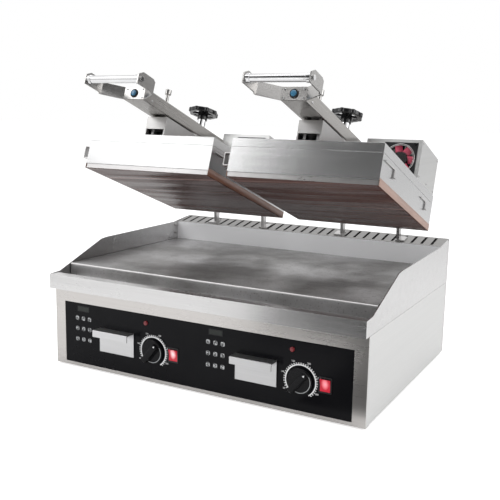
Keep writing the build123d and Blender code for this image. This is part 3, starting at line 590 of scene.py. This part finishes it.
# The recess is a black cone standing a little proud of the head: painted shade for the socket's hollow.
recess = add(screw_tree, "GeometryNodeMeshCone")
recess.inputs["Vertices"].default_value = 6
link(sums(screw_tree, "MULTIPLY", sin_.outputs["Head radius"], 0.42), recess.inputs["Radius Bottom"])
link(sums(screw_tree, "MULTIPLY", sin_.outputs["Head radius"], 0.36), recess.inputs["Radius Top"])
link(sums(screw_tree, "MULTIPLY", sin_.outputs["Head height"], 1.04), recess.inputs["Depth"])
parts = []
for source, label in ((head, "Head material"), (recess, "Recess material")):
    paint = add(screw_tree, "GeometryNodeSetMaterial")
    link(source.outputs["Mesh"], paint.inputs["Geometry"])
    link(sin_.outputs[label], paint.inputs["Material"])
    parts.append(paint)
whole = add(screw_tree, "GeometryNodeJoinGeometry")
for paint in parts:
    link(paint.outputs[0], whole.inputs[0])
aim = add(screw_tree, "GeometryNodeInputNamedAttribute", data_type="FLOAT_VECTOR")
aim.inputs["Name"].default_value = "aim"
facing = add(screw_tree, "FunctionNodeAlignRotationToVector", axis="Z")
link(aim.outputs["Attribute"], facing.inputs["Vector"])
spread = add(screw_tree, "GeometryNodeInstanceOnPoints")
link(sin_.outputs["Geometry"], spread.inputs["Points"])
link(whole.outputs[0], spread.inputs["Instance"])
link(facing.outputs[0], spread.inputs["Rotation"])
real = add(screw_tree, "GeometryNodeRealizeInstances")
link(spread.outputs[0], real.inputs[0])
link(real.outputs[0], sout.inputs[0])
print("screw tree", len(screw_tree.nodes), "nodes")


def socket_key(tree, label):
    """The identifier of an input, which a modifier is set by."""
    return next(i.identifier for i in tree.interface.items_tree if i.name == label and i.in_out == "INPUT")


def grow(name, points, tree, values, body, aims=None, smooth=False):
    """Runs a geometry tree on points and keeps the result as a plain mesh."""
    seed_mesh = bpy.data.meshes.new(name + "_points")
    seed_mesh.from_pydata([tuple(p) for p in points], [], [])
    if aims:
        attribute = seed_mesh.attributes.new("aim", "FLOAT_VECTOR", "POINT")
        for item, direction in zip(attribute.data, aims):
            item.vector = direction
    holder = bpy.data.objects.new(name + "_holder", seed_mesh)
    bpy.context.scene.collection.objects.link(holder)
    modifier = holder.modifiers.new("grow", "NODES")
    modifier.node_group = tree
    for label, value in values.items():
        modifier[socket_key(tree, label)] = value
    graph = bpy.context.evaluated_depsgraph_get()
    mesh = bpy.data.meshes.new_from_object(holder.evaluated_get(graph))
    mesh.name = name
    holder.modifiers.remove(modifier)
    bpy.data.objects.remove(holder)
    piece = bpy.data.objects.new(name, mesh)
    bpy.context.scene.collection.objects.link(piece)
    for face in mesh.polygons:
        face.use_smooth = smooth
    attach(piece, body)
    print(name, len(mesh.polygons), "faces")
    return piece


# %% [markdown]
# Where the screws go: two inside each rear corner of the splash, two on each arm's right
# side, four round each start button and five on the right side of each fan box. Each list of spots has
# a list of directions beside it, and both go into the tree as points.
# %% Screws on the deck, arms, brackets and fan boxes
west, east = Vector((-1, 0, 0)), Vector((1, 0, 0))
# Screw recesses take the black that paints the sockets' shade.
steel_heads = {"Head material": steel_plain, "Recess material": recess_shade_and_ink_black}
deck_screws = [(x, 0.226, z) for z in (0.262, 0.285) for x in (-0.3976, 0.3976)]
grow("deck_corner_screws", deck_screws, screw_tree,
     {"Head radius": 0.0034, "Head height": 0.0022, **steel_heads},
     "base", [east, west, east, west])
for side in ("left", "right"):
    spots, aims = [], []
    for a in (-70, -57):
        spots.append(on_lid(side, 28.2, a, 163 if a == -70 else 150))
        aims.append(east)
    for x in (-22, 22):
        for h in (147, 166):
            spots.append(on_lid(side, x, -89.8, h))
            aims.append(-back_along)
    grow(f"arm_screws_{side}", spots, screw_tree,
         {"Head radius": 0.0024, "Head height": 0.0016, "Head material": chrome, "Recess material": recess_shade_and_ink_black},
         f"arm_{side}", aims)
    spots = [on_lid(side, 175.4, a, h) for a, h in ((262, 96), (330, 96), (399, 96), (262, 174), (399, 174))]
    grow(f"fan_box_screws_{side}", spots, screw_tree,
         {"Head radius": 0.0022, "Head height": 0.0014, **steel_heads},
         f"lid_{side}", [east] * len(spots))

# %% [markdown]
# Printed scales round the knobs: a ring, and ticks that stand along it. The ticks are one
# small block put round a circle by Geometry Nodes, leaving a gap at the bottom where a real
# dial has its off position.
# %% Geometry Nodes: dial scale
dial_tree, din, dout = new_geometry_tree("dial_scale", [
    ("Radius", "NodeSocketFloat", 0.038), ("Marks", "NodeSocketInt", 36),
    ("Length", "NodeSocketFloat", 0.004), ("Width", "NodeSocketFloat", 0.0009),
    ("Thickness", "NodeSocketFloat", 0.0003),
    ("Gap", "NodeSocketFloat", 0.12), ("Ink", "NodeSocketMaterial", None)])
link = dial_tree.links.new
circle = add(dial_tree, "GeometryNodeMeshCircle")
link(din.outputs["Marks"], circle.inputs["Vertices"])
link(din.outputs["Radius"], circle.inputs["Radius"])
size = add(dial_tree, "ShaderNodeCombineXYZ")
link(din.outputs["Length"], size.inputs[0])
link(din.outputs["Width"], size.inputs[1])
link(din.outputs["Thickness"], size.inputs[2])
bar = add(dial_tree, "GeometryNodeMeshCube")
link(size.outputs[0], bar.inputs["Size"])
spot = add(dial_tree, "GeometryNodeInputPosition")
outward = add(dial_tree, "FunctionNodeAlignRotationToVector", axis="X", pivot_axis="Z")
link(spot.outputs[0], outward.inputs["Vector"])
split = add(dial_tree, "ShaderNodeSeparateXYZ")
link(spot.outputs[0], split.inputs[0])
share = sums(dial_tree, "DIVIDE", split.outputs[1], din.outputs["Radius"])
limit = sums(dial_tree, "ADD", -1.0, din.outputs["Gap"])
keep = add(dial_tree, "FunctionNodeCompare", data_type="FLOAT", operation="GREATER_THAN")
link(share, keep.inputs[0])
link(limit, keep.inputs[1])
marks = add(dial_tree, "GeometryNodeInstanceOnPoints")
link(circle.outputs[0], marks.inputs["Points"])
link(keep.outputs[0], marks.inputs["Selection"])
link(bar.outputs[0], marks.inputs["Instance"])
link(outward.outputs[0], marks.inputs["Rotation"])
real = add(dial_tree, "GeometryNodeRealizeInstances")
ink = add(dial_tree, "GeometryNodeSetMaterial")
link(marks.outputs[0], real.inputs[0])
link(real.outputs[0], ink.inputs[0])
link(din.outputs["Ink"], ink.inputs["Material"])
link(ink.outputs[0], dout.inputs[0])
print("dial tree", len(dial_tree.nodes), "nodes")

# %% [markdown]
# Prints lie on the panel's face. They are drawn flat, then stood upright against the panel
# by one function, so that every print is placed in panel coordinates: x across and z up.
# %% Flat prints stood against the panel
panel_y = -0.2846


def stand_up(mesh, x, z, lift=0.0002, y=panel_y):
    """Turns a flat drawing upright, facing the front, at a place on the panel."""
    mesh.transform(Matrix.Translation((x, y - lift, z)) @ Matrix.Rotation(math.radians(90), 4, "X"))


def ring_mesh(name, inner, outer, thickness, start=0.0, end=360.0, steps=64):
    """A flat ring or arc with a little thickness."""
    points, faces = [], []
    closed = abs(end - start) >= 360
    count = steps if closed else steps + 1
    for n in range(count):
        angle = math.radians(start + (end - start) * n / steps)
        for r in (inner, outer):
            for z in (-thickness / 2, thickness / 2):
                points.append((r * math.cos(angle), r * math.sin(angle), z))
    for n in range(steps):
        a, b = 4 * n, 4 * ((n + 1) % count)
        faces += [(a + 1, a + 3, b + 3, b + 1), (a + 2, a, b, b + 2)]
        faces += [(a, a + 1, b + 1, b), (a + 3, a + 2, b + 2, b + 3)]
    if not closed:
        last = 4 * (count - 1)
        faces += [(0, 2, 3, 1), (last + 1, last + 3, last + 2, last)]
    mesh = bpy.data.meshes.new(name)
    mesh.from_pydata(points, [], faces)
    return mesh


def join_meshes(name, meshes):
    """Joins meshes that share one material."""
    points, faces = [], []
    for mesh in meshes:
        base = len(points)
        points += [tuple(v.co) for v in mesh.vertices]
        faces += [tuple(base + i for i in face.vertices) for face in mesh.polygons]
    joined = bpy.data.meshes.new(name)
    joined.from_pydata(points, [], faces)
    return joined


def grown_mesh(name, tree, values, spots=((0, 0, 0),)):
    """The plain mesh that a tree makes by itself, on one point or more."""
    piece = grow(name, spots, tree, values, "base")
    mesh = piece.data.copy()
    bpy.data.objects.remove(piece)
    return mesh


set_shifts = {"left": 0.0, "right": 0.368}
knob_x, knob_z, scale_radius = -0.111, 0.077, 0.036
number_height, number_reach = 0.0052, 0.0072
for side, shift in set_shifts.items():
    drawings = [ring_mesh("ring", scale_radius - 0.0032, scale_radius - 0.0008, 0.0003, -56, 236)]
    drawings.append(grown_mesh("ticks", dial_tree, {
        "Radius": scale_radius + 0.0011, "Marks": 44, "Length": 0.0032, "Width": 0.0018, "Thickness": 0.0003,
        "Gap": 0.2, "Ink": print_white}))
    for n, label in enumerate(("50", "100", "150", "200", "250", "300")):
        angle = math.radians(235 - (n + 0.5) * 290 / 6)
        text = bpy.data.curves.new("number", "FONT")
        text.body = label
        text.size = number_height
        text.align_x = "CENTER"
        text.align_y = "CENTER"
        text.extrude = 0.0001
        holder = bpy.data.objects.new("number", text)
        bpy.context.scene.collection.objects.link(holder)
        mesh = bpy.data.meshes.new_from_object(holder.evaluated_get(bpy.context.evaluated_depsgraph_get()))
        bpy.data.objects.remove(holder)
        reach = scale_radius + number_reach
        mesh.transform(Matrix.Translation((reach * math.cos(angle), reach * math.sin(angle), 0)))
        drawings.append(mesh)
    scale = join_meshes(f"dial_print_{side}", drawings)
    stand_up(scale, knob_x + shift, knob_z)
    fresh(f"dial_print_{side}", scale, print_white, "base", smooth=False)
    print("dial print", side, len(scale.polygons), "faces")

# %% [markdown]
# Each knob carries its own marks: a thin grey arc near the rim and a white triangle that
# points at the scale. They ride on the knob and turn with it.
# %% Marks on the knobs
knob_turn = math.radians(40)
for side, shift in set_shifts.items():
    arc = ring_mesh("arc", 0.0235, 0.0248, 0.0003, -110, 60)
    pointer = bpy.data.meshes.new("pointer")
    tip, half = 0.0268, 0.0022
    pointer.from_pydata([(-half, tip - 0.005, -0.00015), (half, tip - 0.005, -0.00015), (0, tip, -0.00015),
                         (-half, tip - 0.005, 0.00015), (half, tip - 0.005, 0.00015), (0, tip, 0.00015)], [],
                        [(2, 1, 0), (3, 4, 5), (0, 1, 4, 3), (1, 2, 5, 4), (2, 0, 3, 5)])
    for label, mesh, ink, turned, depth in (("arc", arc, print_grey, 0.0, 0.0064),
                                            ("pointer", pointer, print_white, knob_turn, 0.0208)):
        mesh.transform(Matrix.Rotation(-turned, 4, "Z"))
        stand_up(mesh, knob_x + shift, knob_z, 0.0008, panel_y - depth + 0.0006)
        fresh(f"knob_{label}_{side}", mesh, ink, f"knob_{side}", smooth=False)
print("knob marks turned", round(math.degrees(knob_turn)), "degrees")

# %% [markdown]
# The touch keys carry small pictograms. At this size they read as little light blocks, so
# each is built from three or four bars picked by a fixed seed: a tree instances bars on a
# tiny grid inside each key and drops some at random.
# %% Geometry Nodes: key pictograms
key_tree, kin, kout = new_geometry_tree("key_pictograms", [
    ("Cell", "NodeSocketFloat", 0.0022), ("Bar", "NodeSocketFloat", 0.0017),
    ("Thickness", "NodeSocketFloat", 0.0003),
    ("Seed", "NodeSocketInt", 4), ("Ink", "NodeSocketMaterial", None)])
link = key_tree.links.new
grid = add(key_tree, "GeometryNodeMeshGrid")
grid.inputs["Vertices X"].default_value = 3
grid.inputs["Vertices Y"].default_value = 4
link(sums(key_tree, "MULTIPLY", kin.outputs["Cell"], 2.0), grid.inputs["Size X"])
link(sums(key_tree, "MULTIPLY", kin.outputs["Cell"], 3.0), grid.inputs["Size Y"])
per_key = add(key_tree, "GeometryNodeInstanceOnPoints")
link(kin.outputs["Geometry"], per_key.inputs["Points"])
link(grid.outputs[0], per_key.inputs["Instance"])
cells = add(key_tree, "GeometryNodeRealizeInstances")
link(per_key.outputs[0], cells.inputs[0])
chance = add(key_tree, "FunctionNodeRandomValue", data_type="BOOLEAN")
chance.inputs["Probability"].default_value = 0.68
link(kin.outputs["Seed"], chance.inputs["Seed"])
bar_size = add(key_tree, "ShaderNodeCombineXYZ")
link(sums(key_tree, "MULTIPLY", kin.outputs["Bar"], 1.3), bar_size.inputs[0])
link(kin.outputs["Bar"], bar_size.inputs[1])
link(kin.outputs["Thickness"], bar_size.inputs[2])
bar = add(key_tree, "GeometryNodeMeshCube")
link(bar_size.outputs[0], bar.inputs["Size"])
bars = add(key_tree, "GeometryNodeInstanceOnPoints")
link(cells.outputs[0], bars.inputs["Points"])
link(chance.outputs[3], bars.inputs["Selection"])
link(bar.outputs[0], bars.inputs["Instance"])
real = add(key_tree, "GeometryNodeRealizeInstances")
ink = add(key_tree, "GeometryNodeSetMaterial")
link(bars.outputs[0], real.inputs[0])
link(real.outputs[0], ink.inputs[0])
link(kin.outputs["Ink"], ink.inputs["Material"])
link(ink.outputs[0], kout.inputs[0])
key_columns, key_rows = (-0.333, -0.3145, -0.296), (0.1245, 0.099, 0.073)
display_left, display_right, display_low, display_high = -0.330, -0.298, 0.143, 0.153


def tile_mesh(x, z, size, corner, thickness):
    """A square tile with clipped corners, drawn flat."""
    half, cut = size / 2, size / 2 - corner
    rim = [(half, cut), (cut, half), (-cut, half), (-half, cut)]
    rim += [(-px, -pz) for px, pz in rim]
    points = [(x + px, z + pz, depth) for depth in (thickness / 2, -thickness / 2) for px, pz in rim]
    faces = [tuple(range(8)), tuple(reversed(range(8, 16)))]
    faces += [(n, n + 8, (n + 1) % 8 + 8, (n + 1) % 8) for n in range(8)]
    mesh = bpy.data.meshes.new("tile")
    mesh.from_pydata(points, [], faces)
    return mesh


for side, shift in set_shifts.items():
    spots = [(x + shift, z, 0) for x in key_columns for z in key_rows]
    mesh = grown_mesh(f"key_prints_{side}", key_tree, {"Seed": 4, "Ink": recess_shade_and_ink_black}, spots)
    stand_up(mesh, 0, 0, 0.0002, panel_y - 0.00085)
    fresh(f"key_prints_{side}", mesh, recess_shade_and_ink_black, "base", smooth=False)
    tiles = join_meshes("tiles", [tile_mesh(x, z, 0.0094, 0.0018, 0.0003) for x, z, _ in spots])
    stand_up(tiles, 0, 0, 0.0002, panel_y - 0.0006)
    fresh(f"key_tiles_{side}", tiles, print_grey, "base", smooth=False)
    window = bpy.data.meshes.new(f"display_glass_{side}")
    x0, x1 = display_left + shift, display_right + shift
    outline = [(x0, display_low), (x1, display_low), (x1, display_high), (x0, display_high)]
    corners = [(x, y, z) for y in (panel_y - 0.0009, panel_y - 0.0006) for x, z in outline]
    sides = [(n, n + 4, (n + 1) % 4 + 4, (n + 1) % 4) for n in range(4)]
    window.from_pydata(corners, [], [(0, 1, 2, 3), (7, 6, 5, 4)] + sides)
    fresh(f"display_glass_{side}", window, display_dark, "base", smooth=False)

# %% [markdown]
# Turned pieces, such as the dark bezel round the start button and the guard ring over the
# fan, are rings with a rounded section. One lathe function makes both: it spins a small
# outline about an axis and closes it.
# %% Turned rings: button bezels and fan guards


def turned_ring(name, centre, axis, outline, steps=56):
    """Spins a closed outline of (radius, along) points about an axis through a centre."""
    axis = axis.normalized()
    side_dir = axis.orthogonal().normalized()
    other = axis.cross(side_dir)
    points, faces, count = [], [], len(outline)
    for n in range(steps):
        angle = 2 * math.pi * n / steps
        radial = side_dir * math.cos(angle) + other * math.sin(angle)
        points += [centre + radial * r + axis * d for r, d in outline]
    for n in range(steps):
        for k in range(count):
            a, b = n * count + k, n * count + (k + 1) % count
            c, d = ((n + 1) % steps) * count + (k + 1) % count, ((n + 1) % steps) * count + k
            faces.append((a, b, c, d))
    mesh = bpy.data.meshes.new(name)
    mesh.from_pydata(points, [], faces)
    work = bmesh.new()
    work.from_mesh(mesh)
    bmesh.ops.recalc_face_normals(work, faces=work.faces)
    work.to_mesh(mesh)
    work.free()
    return mesh


bezel_outline = [(0.0071, 0.0), (0.0071, 0.0022), (0.0078, 0.003), (0.0088, 0.0028), (0.0098, 0.0016)]
bezel_outline.append((0.0101, 0.0))
guard_wire = 0.0008
wire_angles = [n * math.pi / 4 for n in range(8)]
for side in ("left", "right"):
    bezel = turned_ring(f"button_bezel_{side}", on_lid(side, 0, -89.5, 156.5), -back_along, bezel_outline)
    fresh(f"button_bezel_{side}", bezel, satin_black, f"arm_{side}")
    rings = []
    for r in (0.0335, 0.0362):
        wire = [(r + guard_wire * math.cos(t), guard_wire * math.sin(t)) for t in wire_angles]
        rings.append(turned_ring("guard", on_lid(side, fan_x, 252.6, fan_h), -back_along, wire))
    guard = join_meshes(f"fan_guard_{side}", rings)
    fresh(f"fan_guard_{side}", guard, steel_plain, f"lid_{side}")
print("bezels and guards turned")

# %% [markdown]
# The floor is pale and plain and reaches far behind the object. It glows a little for the
# camera, and a quarter of that for mirrors, so that it looks white and still takes the
# shadow. The world shows pure white to both, but lights matt surfaces more gently.
# %% Floor and world
floor_mesh = bpy.data.meshes.new("floor")
floor_mesh.from_pydata([(-40, -40, 0), (40, -40, 0), (40, 40, 0), (-40, 40, 0)], [], [(0, 1, 2, 3)])
floor = bpy.data.objects.new("floor", floor_mesh)
bpy.context.scene.collection.objects.link(floor)
floor_paint = bpy.data.materials.new("studio_floor")
floor_paint.use_nodes = True
tree = floor_paint.node_tree
shader = tree.nodes["Principled BSDF"]
shader.inputs["Roughness"].default_value = 0.9
shader.inputs["Specular IOR Level"].default_value = 0.0
place = add(tree, "ShaderNodeTexCoord").outputs["Object"]
pale = blend_colour(tree, noise(tree, place, 3.0), (0.93, 0.93, 0.93), (0.95, 0.95, 0.95))
tree.links.new(pale, shader.inputs["Base Color"])
rays = add(tree, "ShaderNodeLightPath")
mirrored = sums(tree, "MAXIMUM", rays.outputs["Is Glossy Ray"], rays.outputs["Is Transmission Ray"])
seen = sums(tree, "MAXIMUM", rays.outputs["Is Camera Ray"], sums(tree, "MULTIPLY", mirrored, 0.25))
tree.links.new(seen, shader.inputs["Emission Strength"])
shader.inputs["Emission Color"].default_value = (0.55, 0.55, 0.55, 1)
floor_mesh.materials.append(floor_paint)

world = bpy.data.worlds.new("studio")
bpy.context.scene.world = world
world.use_nodes = True
tree = world.node_tree
tree.nodes.clear()
rays = add(tree, "ShaderNodeLightPath")
seen = sums(tree, "MAXIMUM", rays.outputs["Is Camera Ray"], rays.outputs["Is Glossy Ray"])
seen = sums(tree, "MAXIMUM", seen, rays.outputs["Is Transmission Ray"])
white = add(tree, "ShaderNodeBackground")
white.inputs["Color"].default_value = (1, 1, 1, 1)
white.inputs["Strength"].default_value = 1.0
soft = add(tree, "ShaderNodeBackground")
soft.inputs["Color"].default_value = (1, 1, 1, 1)
soft.inputs["Strength"].default_value = 0.65
mix = add(tree, "ShaderNodeMixShader")
tree.links.new(seen, mix.inputs[0])
tree.links.new(soft.outputs[0], mix.inputs[1])
tree.links.new(white.outputs[0], mix.inputs[2])
tree.links.new(mix.outputs[0], add(tree, "ShaderNodeOutputWorld").inputs["Surface"])
print("floor and world ready")

# %% [markdown]
# Cards and lamps. Dark cards in front and on the right give the steel something dark to
# mirror, so that the right lid falls off to grey while the left one stays bright. A low lamp
# in front fills the splash and the film; mirrors don't see it.
# %% Cards and lamps


def card(name, corner, across, upward, grey):
    """A flat studio card that only mirroring surfaces see."""
    corner, across, upward = Vector(corner), Vector(across), Vector(upward)
    mesh = bpy.data.meshes.new(name)
    mesh.from_pydata([corner, corner + across, corner + across + upward, corner + upward], [], [(0, 1, 2, 3)])
    paint = bpy.data.materials.new(name + "_paint")
    paint.use_nodes = True
    tree = paint.node_tree
    shader = tree.nodes["Principled BSDF"]
    shader.inputs["Roughness"].default_value = 0.9
    place = add(tree, "ShaderNodeTexCoord").outputs["Object"]
    tone = blend_colour(tree, noise(tree, place, 2.0), (grey,) * 3, (grey * 1.1,) * 3)
    tree.links.new(tone, shader.inputs["Base Color"])
    mesh.materials.append(paint)
    piece = bpy.data.objects.new(name, mesh)
    bpy.context.scene.collection.objects.link(piece)
    piece.visible_camera = False
    piece.visible_shadow = False
    piece.visible_diffuse = False


card("dark_card_high", (-1.65, -2.9, 0.9), (3.6, 0, 0), (0, 0.6, 2.6), 0.05)
card("dark_card_skirt", (-0.1, -0.75, 0.003), (1.2, 0, 0), (-0.85, -2.45, 0), 0.06)
card("dark_card_column", (0.22, -0.85, 0.003), (0.5, 0, 0), (0, 0.5, 0), 0.10)
card("dark_card_low", (-0.95, -3.0, 0.0), (3.2, 0, 0), (0, 0.1, 0.9), 0.05)
card("dark_card_right", (1.9, 1.2, 0.2), (0.6, 2.4, 0), (0, 0, 1.6), 0.08)


def lamp(name, place, target, size, power):
    """A square soft lamp aimed at a point."""
    data = bpy.data.lights.new(name, "AREA")
    data.size = size
    data.energy = power
    holder = bpy.data.objects.new(name, data)
    bpy.context.scene.collection.objects.link(holder)
    holder.location = place
    holder.rotation_euler = (Vector(target) - Vector(place)).to_track_quat("-Z", "Y").to_euler()
    return holder


lamp("key_left", (-2.0, -2.2, 2.9), (-0.1, 0, 0.3), 1.8, 24)
lamp("top", (0.2, 0.4, 3.2), (0, 0, 0.2), 2.4, 30)
lamp("side_right", (2.8, 0.5, 1.4), (0.3, 0, 0.25), 1.6, 18)
fill = lamp("front_fill", (-0.5, -2.4, 0.75), (0.0, 0.15, 0.28), 1.2, 16)
fill.visible_glossy = False
scene = bpy.context.scene
scene.view_settings.view_transform = "Standard"
print("lamps lit")
